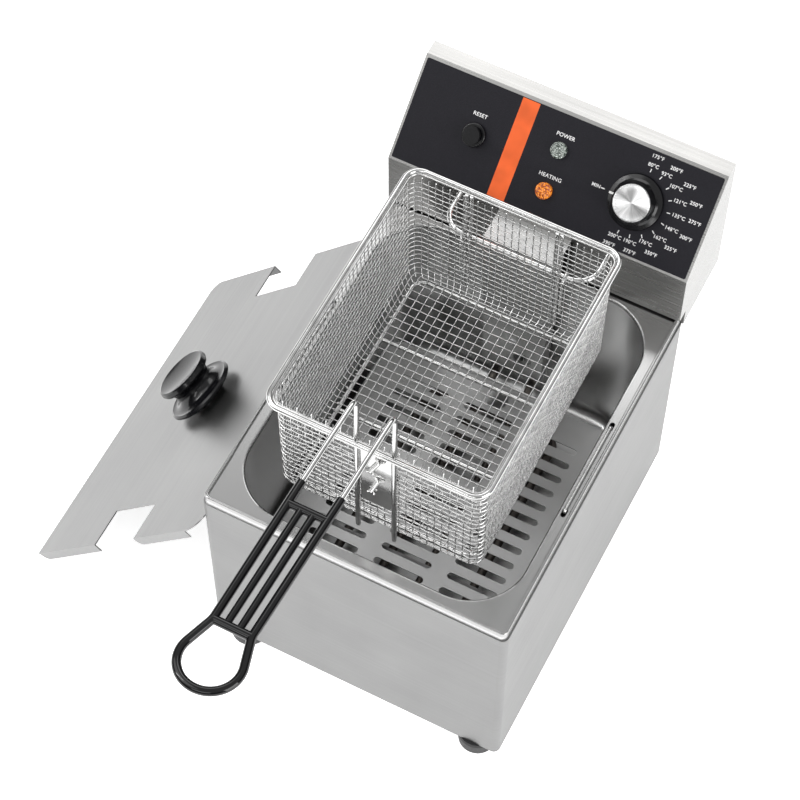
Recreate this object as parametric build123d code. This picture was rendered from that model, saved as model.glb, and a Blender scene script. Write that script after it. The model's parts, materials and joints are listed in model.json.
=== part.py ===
from build123d import *
import math
import os

# Countertop deep fryer, modelled in millimetres with +Z up and the control head at +Y.
# While it is built, X is 0 on the middle plane of the casing, Y is 0 at the front inner edge
# of the tank's raised bead, and Z is 0 on the floor. At the end the whole set is moved so
# that the origin is the middle of its box, on the floor.

# ---- driving dimensions ----
SHEET = 1.0
CASE_WIDTH = 279.0
CASE_DEPTH = 345.0
CASE_FRONT_Y = -4.5
CASE_CORNER_R = 6.0
CASE_TOP_Z = 241.5
FOOT_HEIGHT = 18.6
FOOT_R = 18.0
FOOT_INSET_X = 25.5
FOOT_INSET_Y = 14.5
BASE_FLANGE = 30.0
LEDGE = 5.0

RIM_Z = 250.0
BEAD_HEIGHT = 2.5
BEAD_INNER_WIDTH = 270.0
BEAD_INNER_DEPTH = 337.0
TANK_WIDTH = 252.0
TANK_LENGTH = 315.0
TANK_FRONT_Y = 9.0
TANK_CORNER_R = 50.0
TANK_DEPTH = 190.0
TANK_TAPER = 1.5
TANK_BOTTOM_R = 12.0
TANK_WALL = 1.2
TANK_EDGE_R = 2.0

BAIL_X = 131.0
BAIL_FRONT_Y = 119.7
BAIL_REAR_Y = 210.6
BAIL_R = 1.5
BAIL_LEG = 42.0
BAIL_TOE = 8.0
BAIL_SLOT_LENGTH = 9.0
BAIL_SLOT_WIDTH = 4.4

HEAD_FRONT_Y = 329.4
HEAD_BOTTOM_Z = RIM_Z + BEAD_HEIGHT
FACE_LOW_Z = 312.9
FACE_TOP_Y = 401.1
HEAD_TOP_Z = 375.5
HEAD_REAR_Y = 415.7
HEAD_TAIL_Z = 232.0
HEAD_STEP_Y = 341.5
LABEL_THICKNESS = 0.5
LABEL_LOW_W = 2.0
LABEL_HIGH_W = 92.0

KNOB_U = 74.8
KNOB_W = 46.2
KNOB_R = 24.0
KNOB_CAP_R = 16.0
KNOB_HEIGHT = 19.0
RESET_U = -75.4
RESET_W = 46.1
POWER_LAMP = (-2.0, 61.7)
HEAT_LAMP = (-1.5, 25.3)
LAMP_R = 7.3
LAMP_HEIGHT = 6.0

HANGER_Z = 308.0
HANGER_BAR_Y = 291.5
HANGER_ARM_X = 69.0
HANGER_BEND_R = 20.0
HANGER_R = 2.5

SHIELD_Y = 300.5
SHIELD_TOP_Z = 303.0
SHIELD_BOTTOM_Z = 109.0
SHIELD_TOP_HALF = 34.0
SHIELD_BOTTOM_HALF = 28.5
SHIELD_RETURN = 16.0
SHIELD_SCREW_Z = 159.0
SHIELD_HOLE = (9.7, 135.0)
SHIELD_HOLE_R = 9.0

TUBE_R = 4.0
TUBE_DROP_Y = 310.0
TUBE_EXIT_Z = 289.0
TUBE_INNER_X = 18.0
TUBE_OUTER_X = 62.0
TUBE_RUN_Z = 82.0
TUBE_CROSS_Z = 71.0
TUBE_FRONT_Y = 45.0
TUBE_REAR_Y = 275.0

BAFFLE_Z = 99.0
BAFFLE_HALF = 115.0
BAFFLE_FRONT_Y = 17.0
BAFFLE_REAR_Y = 288.0
BAFFLE_FLANGE = 35.5
SLOT_ROWS = 14
SLOT_COLUMNS = 3
SLOT_PITCH_X = 64.0
SLOT_PITCH_Y = 16.0
SLOT_REAR_Y = 254.4
SLOT_LENGTH = 48.0
SLOT_WIDTH = 6.4
LIFT_HOLE_Y = 272.8
LIFT_HOLE_R = 10.5

BASKET_HALF_TOP = 93.5
BASKET_HALF_BOTTOM = 92.0
BASKET_FRONT_Y = 41.5
BASKET_REAR_Y = 282.5
BASKET_TOP_Z = 379.0
BASKET_BOTTOM_Z = 243.0
BASKET_CORNER_R = 11.0
BASKET_EDGE_R = 9.0
BASKET_WALL = 1.6
RIM_WIRE_R = 2.4
FRAME_WIRE_R = 2.0
ROD_R = 2.2
ROD_X = 16.5
CROOK_Y = 41.0
CROOK_Z = 437.0
CROOK_R = 9.0
HANDLE_RISE = 5.9
GRIP_START = 86.5
GRIP_CROSS = 108.0
GRIP_END = 220.0
GRIP_RING_REACH = 251.0
GRIP_HALF_END = 15.7
GRIP_R = 3.6
GRIP_INNER_X = 5.1
GRIP_INNER_R = 3.1
GRIP_RING_R = 24.0
REAR_WIRE_X = (38.8, 43.2)
HOOK_X = 47.0

LID_WIDTH = 278.0
LID_DEPTH = 332.0
LID_FLANGE = 9.0
LID_TILT = 49.0
LID_FRONT_Y = -14.0
LID_CENTRE = LID_WIDTH / 2
LID_CORNER_R = 21.0
LID_NOTCH_HALF = 34.0
LID_NOTCH_DEPTH = 38.5
LID_WALL_GAP = 0.3
LID_KNOB_R = 34.0
LID_KNOB_TOP_R = 27.2
LID_KNOB_HUB_R = 17.0
LID_KNOB_HUB = 6.5
LID_KNOB_HEIGHT = 34.0

# ---- values worked out from them ----
CASE_MID_Y = CASE_FRONT_Y + CASE_DEPTH / 2
FLANGE_WIDTH = CASE_WIDTH - 3.0
FLANGE_DEPTH = CASE_DEPTH - 2.0
TANK_MID_Y = TANK_FRONT_Y + TANK_LENGTH / 2
BASKET_MID_Y = (BASKET_FRONT_Y + BASKET_REAR_Y) / 2
BASKET_LENGTH = BASKET_REAR_Y - BASKET_FRONT_Y
FACE_TILT = math.degrees(math.atan2(HEAD_TOP_Z - FACE_LOW_Z, FACE_TOP_Y - HEAD_FRONT_Y))

parts = {}


# ---- helpers ----
def bar(radius, start, end):
    """A round bar from one point to another."""
    line = Line(start, end)
    return sweep(Plane(origin=start, z_dir=line % 0) * Circle(radius), path=line)


def wire_rod(radius, points, bend, close=False):
    """A round wire along a bent path; bend is one radius or one for each corner."""
    path = FilletPolyline(*points, radius=bend, close=close)
    section = Plane(origin=path @ 0, z_dir=path % 0) * Circle(radius)
    return sweep(section, path=path)


def rounded_loop(radius, half_x, y_low, y_high, z, corner):
    """A closed round wire on a rounded rectangle at height z."""
    middle = (y_low + y_high) / 2
    outline = Pos(0, middle, z) * RectangleRounded(2 * half_x, y_high - y_low, corner)
    path = outline.wire()
    start = path @ 0
    return sweep(Plane(origin=start, z_dir=path % 0) * Circle(radius), path=path)


def slab(width, depth, corner, z_low, height, mid_y):
    """A flat plate with rounded corners."""
    return Pos(0, mid_y, z_low) * extrude(RectangleRounded(width, depth, corner), height)


def block(x_low, x_high, y_low, y_high, z_low, z_high):
    """A plain box between two corners."""
    size = (x_high - x_low, y_high - y_low, z_high - z_low)
    middle = ((x_low + x_high) / 2, (y_low + y_high) / 2, (z_low + z_high) / 2)
    return Pos(*middle) * Box(*size)


def disc(radius, height, x=0.0, y=0.0, z=0.0):
    """An upright cylinder standing on height z."""
    return Pos(x, y, z) * Cylinder(radius, height, align=(Align.CENTER, Align.CENTER, Align.MIN))


def turned(points):
    """A solid of revolution about Z from (radius, height) points."""
    outline = make_face(Polyline(*[(r, 0, z) for r, z in points], close=True))
    return revolve(outline, Axis.Z, 360)


def ring(outer, inner, height, x=0.0, y=0.0, z=0.0):
    """A washer or collar."""
    return disc(outer, height, x, y, z) - disc(inner, height, x, y, z)


def hexagon(across_flats, height, bore):
    """A hexagon nut standing on the XY plane."""
    outline = RegularPolygon(across_flats / 2, 6, major_radius=False) - Circle(bore)
    return extrude(outline, height)


def screw(head_r, head_height, shank_r, length):
    """A cross-slotted pan screw: head above the XY plane, shank below it."""
    head = fillet(disc(head_r, head_height).edges().group_by(Axis.Z)[-1], head_height * 0.5)
    for angle in (0, 90):
        head -= Pos(0, 0, head_height) * Rot(0, 0, angle) * Box(head_r, head_r * 0.22, head_height)
    return head + disc(shank_r, length, z=-length)


def group(*solids):
    """Separate solids kept in one node."""
    return Compound([s for item in solids for s in item.solids()])


face = Plane(
    origin=(0, HEAD_FRONT_Y, FACE_LOW_Z),
    x_dir=(1, 0, 0),
    z_dir=(0, -math.sin(math.radians(FACE_TILT)), math.cos(math.radians(FACE_TILT))),
)


def on_face(u, w, h=0.0):
    """A place on the sloped control face: across, up the slope, and out of it."""
    return face * Pos(u, w, h)


# ---- casing ----
def tub_ring(width, depth, corner, z_low, z_high, wall):
    outer = slab(width, depth, corner, z_low, z_high - z_low, CASE_MID_Y)
    inner = slab(width - 2 * wall, depth - 2 * wall, corner - 1, z_low, z_high - z_low, CASE_MID_Y)
    return outer - inner


foot_places = [
    (sx * (CASE_WIDTH / 2 - FOOT_INSET_X), y)
    for sx in (-1, 1)
    for y in (CASE_FRONT_Y + FOOT_INSET_Y, CASE_FRONT_Y + CASE_DEPTH - FOOT_INSET_Y)
]
SCREW_HOLE_R = 2.6


def make_casing():
    wall = tub_ring(CASE_WIDTH, CASE_DEPTH, CASE_CORNER_R, FOOT_HEIGHT, CASE_TOP_Z, SHEET)
    ledge = tub_ring(
        CASE_WIDTH, CASE_DEPTH, CASE_CORNER_R, CASE_TOP_Z - SHEET, CASE_TOP_Z, LEDGE
    )
    floor = tub_ring(
        CASE_WIDTH, CASE_DEPTH, CASE_CORNER_R, FOOT_HEIGHT, FOOT_HEIGHT + SHEET, BASE_FLANGE
    )
    casing = wall + ledge + floor
    for x, y in foot_places:
        casing -= disc(SCREW_HOLE_R, SHEET, x, y, FOOT_HEIGHT)
    return casing


def make_base_plate():
    low = FOOT_HEIGHT + SHEET
    inside = 2 * (SHEET + 0.3)
    plate = slab(CASE_WIDTH - inside, CASE_DEPTH - inside, 4.0, low, SHEET, CASE_MID_Y)
    for x, y in foot_places:
        plate -= disc(SCREW_HOLE_R, SHEET, x, y, low)
    for row in (-1, 1):
        for index in range(9):
            spot = Pos(row * 45, CASE_MID_Y + (index - 4) * 22, low)
            plate -= spot * extrude(SlotOverall(50, 6), SHEET)
    return plate


def make_foot(x, y):
    outline = [
        (6.5, 0), (FOOT_R - 2.5, 0), (FOOT_R - 1, 1.5), (FOOT_R, FOOT_HEIGHT - 3),
        (FOOT_R - 0.8, FOOT_HEIGHT), (SCREW_HOLE_R, FOOT_HEIGHT), (SCREW_HOLE_R, 9), (6.5, 9),
    ]
    return Pos(x, y, 0) * turned(outline)


def make_foot_screw(x, y):
    return Pos(x, y, 9) * Rot(180, 0, 0) * screw(5.2, 3.0, 2.5, 19.0)


def make_foot_nut(x, y):
    return Pos(x, y, FOOT_HEIGHT + 2 * SHEET) * hexagon(8.0, 4.0, 2.5)


parts["casing_shell"] = make_casing()
parts["base_plate"] = make_base_plate()
parts["rubber_feet"] = group(*[make_foot(x, y) for x, y in foot_places])
parts["foot_screws"] = group(*[make_foot_screw(x, y) for x, y in foot_places])
parts["foot_nuts"] = group(*[make_foot_nut(x, y) for x, y in foot_places])


# ---- oil tank and its two lifting bails ----
def pan(width, length, corner, top_z, depth, bottom_r):
    """A tapered pan body with rounded corners and a rounded bottom edge."""
    body = extrude(RectangleRounded(width, length, corner), -depth, taper=TANK_TAPER)
    bottom = body.edges().group_by(Axis.Z)[0]
    return Pos(0, TANK_MID_Y, top_z) * fillet(bottom, bottom_r)


def make_tank():
    flange = slab(FLANGE_WIDTH, FLANGE_DEPTH, 5.0, RIM_Z - TANK_WALL, TANK_WALL, CASE_MID_Y)
    lip_height = RIM_Z + BEAD_HEIGHT - CASE_TOP_Z
    lip = slab(FLANGE_WIDTH, FLANGE_DEPTH, 5.0, CASE_TOP_Z, lip_height, CASE_MID_Y)
    lip -= slab(
        FLANGE_WIDTH - 2 * TANK_WALL, FLANGE_DEPTH - 2 * TANK_WALL, 4.0, CASE_TOP_Z,
        lip_height, CASE_MID_Y,
    )
    bead = slab(FLANGE_WIDTH, FLANGE_DEPTH, 5.0, RIM_Z, BEAD_HEIGHT, CASE_MID_Y)
    bead -= slab(BEAD_INNER_WIDTH, BEAD_INNER_DEPTH, 3.0, RIM_Z, BEAD_HEIGHT, CASE_MID_Y)
    bead = fillet(bead.edges().group_by(Axis.Z)[-1], 1.2)
    lip = lip - slab(FLANGE_WIDTH, FLANGE_DEPTH, 5.0, RIM_Z, BEAD_HEIGHT, CASE_MID_Y)
    wall = 2 * TANK_WALL
    outside = pan(
        TANK_WIDTH + wall, TANK_LENGTH + wall, TANK_CORNER_R + TANK_WALL, RIM_Z, TANK_DEPTH,
        TANK_BOTTOM_R + TANK_WALL,
    )
    inside = pan(
        TANK_WIDTH, TANK_LENGTH, TANK_CORNER_R, RIM_Z, TANK_DEPTH - TANK_WALL, TANK_BOTTOM_R
    )
    cover = slab(TANK_WIDTH + 20, TANK_LENGTH + 14, TANK_CORNER_R, RIM_Z, 5.0, TANK_MID_Y)
    plug = inside + cover
    edge = [
        e for e in plug.edges()
        if abs(e.center().Z - RIM_Z) < 0.01
        and abs(e.center().X) < TANK_WIDTH / 2 + 0.1
        and abs(e.center().Y - TANK_MID_Y) < TANK_LENGTH / 2 + 0.1
    ]
    plug = fillet(edge, TANK_EDGE_R)
    tank = flange + lip + bead + outside - plug
    slot = extrude(SlotOverall(BAIL_SLOT_LENGTH, BAIL_SLOT_WIDTH), 2 * TANK_WALL)
    for sx in (-1, 1):
        for y in (BAIL_FRONT_Y, BAIL_REAR_Y):
            tank -= Pos(sx * BAIL_X, y, RIM_Z - 1.5 * TANK_WALL) * Rot(0, 0, 90) * slot
    return tank


def make_bail(sx):
    x = sx * BAIL_X
    top = RIM_Z + BAIL_R + 0.1
    low = top - BAIL_LEG
    points = [
        (x, BAIL_FRONT_Y - BAIL_TOE, low), (x, BAIL_FRONT_Y, low), (x, BAIL_FRONT_Y, top),
        (x, BAIL_REAR_Y, top), (x, BAIL_REAR_Y, low), (x, BAIL_REAR_Y + BAIL_TOE, low),
    ]
    return wire_rod(BAIL_R, points, 3.0)


parts["oil_tank"] = make_tank()
parts["left_tank_bail"] = make_bail(-1)
parts["right_tank_bail"] = make_bail(1)


# ---- control head: sheet metal ----
def head_outline(inset):
    """The head's side outline, in Y and Z, pulled in by the sheet thickness."""
    slope = math.radians(FACE_TILT)
    lift = inset * math.tan((math.pi / 2 - slope) / 2)
    drop = inset * math.tan(slope / 2)
    points = [
        (HEAD_FRONT_Y + inset, HEAD_BOTTOM_Z + inset),
        (HEAD_FRONT_Y + inset, FACE_LOW_Z - lift),
        (FACE_TOP_Y + drop, HEAD_TOP_Z - inset),
        (HEAD_REAR_Y - inset, HEAD_TOP_Z - inset),
        (HEAD_REAR_Y - inset, HEAD_TAIL_Z + inset),
        (HEAD_STEP_Y + inset, HEAD_TAIL_Z + inset),
        (HEAD_STEP_Y + inset, HEAD_BOTTOM_Z + inset),
    ]
    return make_face(Polyline(*[(0, y, z) for y, z in points], close=True))


def head_block(inset, half_width):
    return extrude(head_outline(inset), half_width, dir=(1, 0, 0), both=True)


LAMP_HOLE_R = 5.6
KNOB_HOLE_R = 5.0
RESET_HOLE_R = 6.2
CAPILLARY_R = 1.0
CAPILLARY_X = 6.0


def make_head_shell():
    half = CASE_WIDTH / 2
    shell = head_block(0, half) - head_block(SHEET, half - SHEET)
    # the back panel and the bottom tray close these two openings
    shell -= block(
        -half + SHEET, half - SHEET, HEAD_REAR_Y - SHEET, HEAD_REAR_Y + 1,
        HEAD_TAIL_Z - 1, HEAD_TOP_Z - SHEET,
    )
    shell -= block(
        -half + SHEET, half - SHEET, HEAD_FRONT_Y + SHEET, HEAD_REAR_Y + 1,
        HEAD_TAIL_Z - 1, HEAD_BOTTOM_Z + SHEET,
    )
    # narrow inward flanges that the back panel is screwed to
    flange_low = HEAD_REAR_Y - 2 * SHEET
    flange_high = HEAD_REAR_Y - SHEET
    for sx in (-1, 1):
        inner = sorted((sx * (half - SHEET), sx * (half - 12)))
        shell += block(*inner, flange_low, flange_high, HEAD_TAIL_Z + 6, HEAD_TOP_Z - SHEET)
    shell += block(
        -half + SHEET, half - SHEET, flange_low, flange_high, HEAD_TOP_Z - 12, HEAD_TOP_Z - SHEET
    )
    for u, w in (POWER_LAMP, HEAT_LAMP):
        shell -= on_face(u, w, -3) * Cylinder(LAMP_HOLE_R, 8)
    shell -= on_face(KNOB_U, KNOB_W, -3) * Cylinder(KNOB_HOLE_R, 8)
    shell -= on_face(RESET_U, RESET_W, -3) * Cylinder(RESET_HOLE_R, 8)
    for x, z, radius in front_holes():
        shell -= Pos(x, HEAD_FRONT_Y, z) * Rot(90, 0, 0) * Cylinder(radius, 6)
    for x, z in back_screw_places():
        shell -= Pos(x, HEAD_REAR_Y - 1.5, z) * Rot(90, 0, 0) * Cylinder(1.6, 2.0)
    return shell


def front_holes():
    """Holes low in the front plane: x, z and radius."""
    holes = [(sx * TUBE_INNER_X, TUBE_EXIT_Z, TUBE_R + 0.3) for sx in (-1, 1)]
    holes += [(sx * CAPILLARY_X, TUBE_EXIT_Z - 8, CAPILLARY_R + 0.4) for sx in (-1, 1)]
    holes += [(sx * HANGER_ARM_X, HANGER_Z, HANGER_R + 0.2) for sx in (-1, 1)]
    return holes


def back_screw_places():
    side = CASE_WIDTH / 2 - 7
    places = [(sx * side, z) for sx in (-1, 1) for z in (HEAD_TAIL_Z + 14, 300.0, HEAD_TOP_Z - 22)]
    return places + [(sx * 60.0, HEAD_TOP_Z - 7) for sx in (-1, 1)]


GLAND_X = -95.0
GLAND_Z = 258.0
GLAND_R = 8.0


def make_back_panel():
    half = CASE_WIDTH / 2 - SHEET - 0.2
    panel = block(
        -half, half, HEAD_REAR_Y - SHEET, HEAD_REAR_Y, HEAD_TAIL_Z, HEAD_TOP_Z - SHEET - 0.2
    )
    for x, z in back_screw_places():
        panel -= Pos(x, HEAD_REAR_Y, z) * Rot(90, 0, 0) * Cylinder(1.8, 4)
    panel -= Pos(GLAND_X, HEAD_REAR_Y, GLAND_Z) * Rot(90, 0, 0) * Cylinder(GLAND_R, 4)
    for column in (-1, 0, 1):
        for row in range(5):
            spot = Pos(column * 60, HEAD_REAR_Y - 2, 305 + row * 9) * Rot(-90, 0, 0)
            panel -= spot * extrude(SlotOverall(42, 3.4), 4)
    return panel


def make_base_tray():
    half = CASE_WIDTH / 2 - SHEET - 0.2
    low = HEAD_BOTTOM_Z
    front = block(-half, half, HEAD_FRONT_Y + SHEET, HEAD_STEP_Y, low, low + SHEET)
    step = block(-half, half, HEAD_STEP_Y, HEAD_STEP_Y + SHEET, HEAD_TAIL_Z, low + SHEET)
    rear = block(
        -half, half, HEAD_STEP_Y, HEAD_REAR_Y - SHEET, HEAD_TAIL_Z, HEAD_TAIL_Z + SHEET
    )
    return front + step + rear


def make_back_screws():
    spot = Rot(-90, 0, 0)
    return group(*[
        Pos(x, HEAD_REAR_Y, z) * spot * screw(3.2, 1.8, 1.5, 5.0) for x, z in back_screw_places()
    ])


def make_label():
    width = CASE_WIDTH - 4.5
    label = Pos(0, (LABEL_LOW_W + LABEL_HIGH_W) / 2, 0) * RectangleRounded(
        width, LABEL_HIGH_W - LABEL_LOW_W, 1.5
    )
    for u, w in (POWER_LAMP, HEAT_LAMP):
        label -= Pos(u, w) * Circle(LAMP_HOLE_R)
    label -= Pos(KNOB_U, KNOB_W) * Circle(KNOB_HOLE_R)
    label -= Pos(RESET_U, RESET_W) * Circle(RESET_HOLE_R)
    return face * extrude(label, LABEL_THICKNESS)


parts["head_shell"] = make_head_shell()
parts["head_back_panel"] = make_back_panel()
parts["head_base_tray"] = make_base_tray()
parts["back_panel_screws"] = make_back_screws()
parts["control_label"] = make_label()


# ---- control head: what is behind and on the face ----
def make_lens(place):
    outline = [
        (0, -1), (LAMP_HOLE_R - 1.6, -1), (LAMP_HOLE_R - 1.6, LABEL_THICKNESS),
        (LAMP_R, LABEL_THICKNESS), (LAMP_R, 2.5), (LAMP_R - 1.5, LAMP_HEIGHT - 1),
        (LAMP_R - 4.0, LAMP_HEIGHT), (0, LAMP_HEIGHT),
    ]
    return on_face(*place) * turned(outline)


def make_lamp_body(place):
    outline = [
        (LAMP_HOLE_R - 1.5, -1), (LAMP_HOLE_R - 0.1, -1), (LAMP_HOLE_R - 0.1, -24), (3.5, -30),
        (0, -30), (0, -2), (LAMP_HOLE_R - 1.5, -2),
    ]
    return on_face(*place) * turned(outline)


def make_lamp_nut(place):
    return on_face(*place, -6) * hexagon(16, 4, LAMP_HOLE_R)


def make_thermostat_body():
    can = on_face(KNOB_U, KNOB_W, -20) * Box(42, 36, 26)
    neck = on_face(KNOB_U, KNOB_W, -7) * disc(KNOB_HOLE_R - 0.2, 7.6)
    bore = on_face(KNOB_U, KNOB_W, -15) * disc(3.05, 16)
    return can + neck - bore


def make_high_limit_body():
    can = on_face(RESET_U, RESET_W, -27) * disc(15, 22)
    neck = on_face(RESET_U, RESET_W, -5) * disc(RESET_HOLE_R - 0.2, 9.5)
    bore = on_face(RESET_U, RESET_W, -12) * disc(4.05, 17)
    return can + neck - bore


def make_reset_collar():
    collar = on_face(RESET_U, RESET_W, LABEL_THICKNESS) * ring(10.5, RESET_HOLE_R, 4.0)
    rim = collar.edges().group_by(Axis(face.origin, face.z_dir))[-1]
    return fillet(rim, 1.2)


def make_reset_button():
    stem = on_face(RESET_U, RESET_W, -8) * disc(4.0, 16)
    top = on_face(RESET_U, RESET_W, 7.0) * disc(7.5, 4.5)
    return stem + top


parts["power_lamp_lens"] = make_lens(POWER_LAMP)
parts["heating_lamp_lens"] = make_lens(HEAT_LAMP)
parts["lamp_bodies"] = group(*[make_lamp_body(p) for p in (POWER_LAMP, HEAT_LAMP)])
parts["lamp_nuts"] = group(*[make_lamp_nut(p) for p in (POWER_LAMP, HEAT_LAMP)])
parts["thermostat_body"] = make_thermostat_body()
parts["high_limit_body"] = make_high_limit_body()
parts["control_nuts"] = group(
    on_face(KNOB_U, KNOB_W, -7) * hexagon(15, 6, KNOB_HOLE_R),
    on_face(RESET_U, RESET_W, -5) * hexagon(19, 4, RESET_HOLE_R),
)
parts["reset_collar"] = make_reset_collar()
parts["reset_button"] = make_reset_button()


# ---- thermostat knob ----
def make_knob_skirt():
    outline = [
        (3.1, 1.2), (KNOB_R - 1.5, 1.2), (KNOB_R, 2.4), (KNOB_R - 0.6, 4.6), (20.0, 5.4),
        (18.2, 7.0), (17.4, KNOB_HEIGHT - 2.5), (KNOB_CAP_R + 0.6, KNOB_HEIGHT - 1.2),
        (KNOB_CAP_R + 0.2, KNOB_HEIGHT - 1.2), (KNOB_CAP_R + 0.2, KNOB_HEIGHT - 3.0),
        (3.1, KNOB_HEIGHT - 3.0),
    ]
    skirt = turned(outline)
    # eight shallow finger scoops round the grip
    for index in range(8):
        skirt -= Rot(0, 0, 22.5 + 45 * index) * Pos(20.2, 0, 12.5) * Cylinder(3.4, 12.0)
    return on_face(KNOB_U, KNOB_W) * skirt


def make_knob_cap():
    cap = disc(KNOB_CAP_R, 3.0, z=KNOB_HEIGHT - 3.0)
    cap = fillet(cap.edges().group_by(Axis.Z)[-1], 0.8)
    return on_face(KNOB_U, KNOB_W) * cap


def make_pointer():
    pointer = Pos(-KNOB_R + 4.0, 0, 5.6) * Box(6.5, 1.8, 1.6)
    return on_face(KNOB_U, KNOB_W) * pointer


def make_shaft():
    return on_face(KNOB_U, KNOB_W, -13) * disc(3.0, KNOB_HEIGHT + 9.5)


parts["knob_skirt"] = make_knob_skirt() - make_pointer()
parts["knob_cap"] = make_knob_cap()
parts["knob_pointer"] = make_pointer()
parts["thermostat_shaft"] = make_shaft()


# ---- heating element, its shield and the sensing bulbs ----
def make_element():
    def leg(sx):
        return [
            (sx * TUBE_INNER_X, HEAD_FRONT_Y + 22, TUBE_EXIT_Z),
            (sx * TUBE_INNER_X, TUBE_DROP_Y, TUBE_EXIT_Z),
            (sx * TUBE_INNER_X, TUBE_DROP_Y, TUBE_RUN_Z),
            (sx * TUBE_INNER_X, TUBE_FRONT_Y, TUBE_RUN_Z),
            (sx * TUBE_OUTER_X, TUBE_FRONT_Y, TUBE_RUN_Z),
            (sx * TUBE_OUTER_X, TUBE_REAR_Y - 35, TUBE_RUN_Z),
            (sx * TUBE_OUTER_X, TUBE_REAR_Y, TUBE_CROSS_Z),
        ]

    points = leg(1) + leg(-1)[::-1]
    bends = [12, 14, 20, 20, 30, 18, 18, 30, 20, 20, 14, 12]
    return wire_rod(TUBE_R, points, bends)


def make_element_flange():
    plate = block(
        -48, 48, HEAD_FRONT_Y + SHEET, HEAD_FRONT_Y + SHEET + 2.5, TUBE_EXIT_Z - 16,
        TUBE_EXIT_Z + 10,
    )
    for x, z, radius in front_holes()[:4]:
        plate -= Pos(x, HEAD_FRONT_Y + 2, z) * Rot(90, 0, 0) * Cylinder(radius, 8)
    return plate


def make_terminals():
    solids = []
    for sx in (-1, 1):
        start = HEAD_FRONT_Y + 22
        x = sx * TUBE_INNER_X
        solids.append(bar(3.0, (x, start, TUBE_EXIT_Z), (x, start + 5, TUBE_EXIT_Z)))
        solids.append(bar(1.6, (x, start + 5, TUBE_EXIT_Z), (x, start + 16, TUBE_EXIT_Z)))
    return group(*solids)


def make_shield():
    top = SHIELD_TOP_Z
    front = Polyline(
        (-SHIELD_TOP_HALF, top), (SHIELD_TOP_HALF, top), (SHIELD_BOTTOM_HALF, SHIELD_BOTTOM_Z),
        (-SHIELD_BOTTOM_HALF, SHIELD_BOTTOM_Z), close=True,
    )
    # a tapering channel: the front sheet with two side returns, and a top that meets the head
    sheet = Plane(origin=(0, SHIELD_Y, 0), x_dir=(1, 0, 0), z_dir=(0, -1, 0)) * make_face(front)
    outer = extrude(sheet, SHIELD_RETURN, dir=(0, 1, 0))
    hollow = Pos(0, SHEET, 0) * extrude(sheet, SHIELD_RETURN, dir=(0, 1, 0))
    side = SHEET / SHIELD_BOTTOM_HALF
    hollow = scale(hollow, by=(1 - side, 1, 1))
    shield = outer - hollow
    shield += block(
        -SHIELD_TOP_HALF, SHIELD_TOP_HALF, SHIELD_Y, HEAD_FRONT_Y, top - SHEET, top
    )
    shield -= Pos(0, SHIELD_Y, SHIELD_SCREW_Z) * Rot(90, 0, 0) * Cylinder(2.2, 6)
    x, z = SHIELD_HOLE
    shield -= Pos(x, SHIELD_Y, z) * Rot(90, 0, 0) * Cylinder(SHIELD_HOLE_R, 6)
    return shield


def make_bulb(sx):
    x = sx * CAPILLARY_X
    low = bar(3.4, (x, TUBE_DROP_Y, 120), (x, TUBE_DROP_Y, 195))
    return fillet(low.edges(), 1.2)


def make_capillary(sx, start):
    x = sx * CAPILLARY_X
    exit_z = TUBE_EXIT_Z - 8
    points = [
        start, (start[0], start[1], 275), (x, HEAD_FRONT_Y + 20, exit_z),
        (x, TUBE_DROP_Y, exit_z), (x, TUBE_DROP_Y, 195),
    ]
    return wire_rod(CAPILLARY_R, points, [10, 8, 8])


def make_bulb_clip():
    clip = block(-11, 11, SHIELD_Y + SHEET, SHIELD_Y + 2 * SHEET, 150, 168)
    for sx in (-1, 1):
        inner = sorted((sx * 10, sx * 11))
        clip += block(*inner, SHIELD_Y + SHEET, TUBE_DROP_Y + 3, 150, 168)
    return clip - Pos(0, SHIELD_Y, SHIELD_SCREW_Z) * Rot(90, 0, 0) * Cylinder(2.2, 8)


def make_shield_screw():
    return Pos(0, SHIELD_Y, SHIELD_SCREW_Z) * Rot(90, 0, 0) * screw(4.2, 2.2, 2.0, 3.5)


def make_tube_clamps():
    clamps = []
    for y in (95.0, 190.0):
        strap = block(-72, 72, y - 5, y + 5, TUBE_RUN_Z + TUBE_R, TUBE_RUN_Z + TUBE_R + 1)
        for x in (-TUBE_OUTER_X, -TUBE_INNER_X, TUBE_INNER_X, TUBE_OUTER_X):
            low = TUBE_RUN_Z - 1
            high = TUBE_RUN_Z + TUBE_R
            strap += block(x - TUBE_R - 1.2, x - TUBE_R - 0.2, y - 5, y + 5, low, high)
            strap += block(x + TUBE_R + 0.2, x + TUBE_R + 1.2, y - 5, y + 5, low, high)
        clamps.append(strap)
    return group(*clamps)


thermostat_exit = on_face(KNOB_U - 12, KNOB_W + 6, -33).position
limit_exit = on_face(RESET_U + 6, RESET_W + 4, -27).position
parts["heating_element"] = make_element()
parts["element_flange"] = make_element_flange()
parts["element_terminals"] = make_terminals()
parts["element_clamps"] = make_tube_clamps()
parts["element_shield"] = make_shield()
parts["shield_screw"] = make_shield_screw()
parts["bulb_clip"] = make_bulb_clip()
parts["thermostat_bulb"] = make_bulb(1)
parts["high_limit_bulb"] = make_bulb(-1)
parts["thermostat_capillary"] = make_capillary(1, tuple(thermostat_exit))
parts["high_limit_capillary"] = make_capillary(-1, tuple(limit_exit))


# ---- hanger rail for the basket, wiring parts and the cord gland ----
def make_hanger():
    end_y = HEAD_FRONT_Y + 7
    points = [
        (-HANGER_ARM_X, end_y, HANGER_Z), (-HANGER_ARM_X, HANGER_BAR_Y, HANGER_Z),
        (HANGER_ARM_X, HANGER_BAR_Y, HANGER_Z), (HANGER_ARM_X, end_y, HANGER_Z),
    ]
    return wire_rod(HANGER_R, points, HANGER_BEND_R)


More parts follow.
